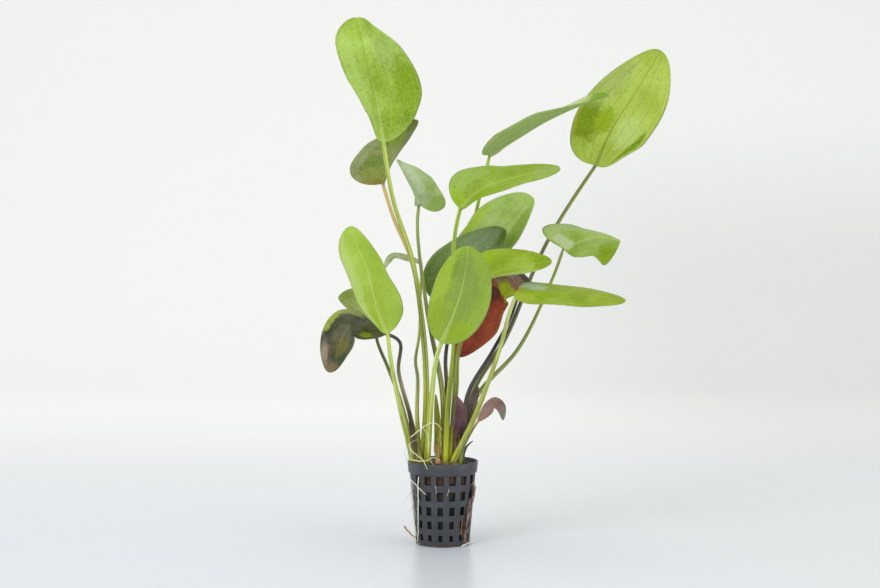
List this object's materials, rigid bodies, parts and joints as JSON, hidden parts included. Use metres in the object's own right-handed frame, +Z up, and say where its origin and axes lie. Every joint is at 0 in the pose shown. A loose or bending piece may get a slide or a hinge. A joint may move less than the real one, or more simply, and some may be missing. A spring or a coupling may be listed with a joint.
{
  "type": "potted ozelot echinodorus",
  "caption": "Sword plant with long-stalked oval green, olive and red-brown leaves in a slotted charcoal net pot",
  "frame": {"origin": "centre of the pot's flat underside", "axes": "+Z up along the pot's axis, +X to the viewer's right in the picture, +Y away from the viewer"},
  "size_m": [0.2524, 0.1213, 0.373],
  "materials": {
    "pot_plastic": "satin moulded charcoal plastic",
    "medium": "rough, damp red-brown fibre",
    "crown": "matt pale green-brown root crown",
    "bright_green": "thin, translucent, slightly glossy",
    "olive_green": "thin, slightly glossy",
    "grey_green": "thin, with a waxy bloom",
    "dark_green": "thin, slightly glossy, speckled",
    "red_brown": "thin, slightly glossy, mottled",
    "purple_brown": "thin, slightly glossy",
    "white_root": "matt, waxy white",
    "dry_brown": "dry, papery"
  },
  "bodies": {
    "root": {"pot": "pot_plastic", "growing_medium": "medium", "crown_left": "crown", "crown_right": "crown", "leaf_tall_left": "bright_green", "leaf_olive_behind": "olive_green", "leaf_grey_green": "grey_green", "leaf_edge_on": "bright_green", "leaf_top_right": "bright_green", "leaf_upper_centre": "bright_green", "leaf_pale_behind": "bright_green", "leaf_folded_right": "bright_green", "leaf_dark_centre": "dark_green", "leaf_front_centre": "bright_green", "leaf_centre_right": "bright_green", "leaf_low_right": "bright_green", "leaf_red_arched": "red_brown", "leaf_left_bright": "bright_green", "leaf_left_olive": "olive_green", "leaf_left_purple": "purple_brown", "leaf_narrow_arched": "grey_green", "young_leaf": "purple_brown", "young_sheath": "purple_brown", "young_sheath_right": "purple_brown", "old_sheath_front": "dry_brown", "old_sheath_left": "dry_brown", "dry_spur": "purple_brown", "wall_root_long": "white_root", "wall_root_crossing": "white_root", "root_stub_brown": "dry_brown", "root_on_table": "white_root", "root_thread_arched": "white_root", "root_thread_low": "white_root", "root_thread_rim": "white_root"}
  },
  "joints": []
}
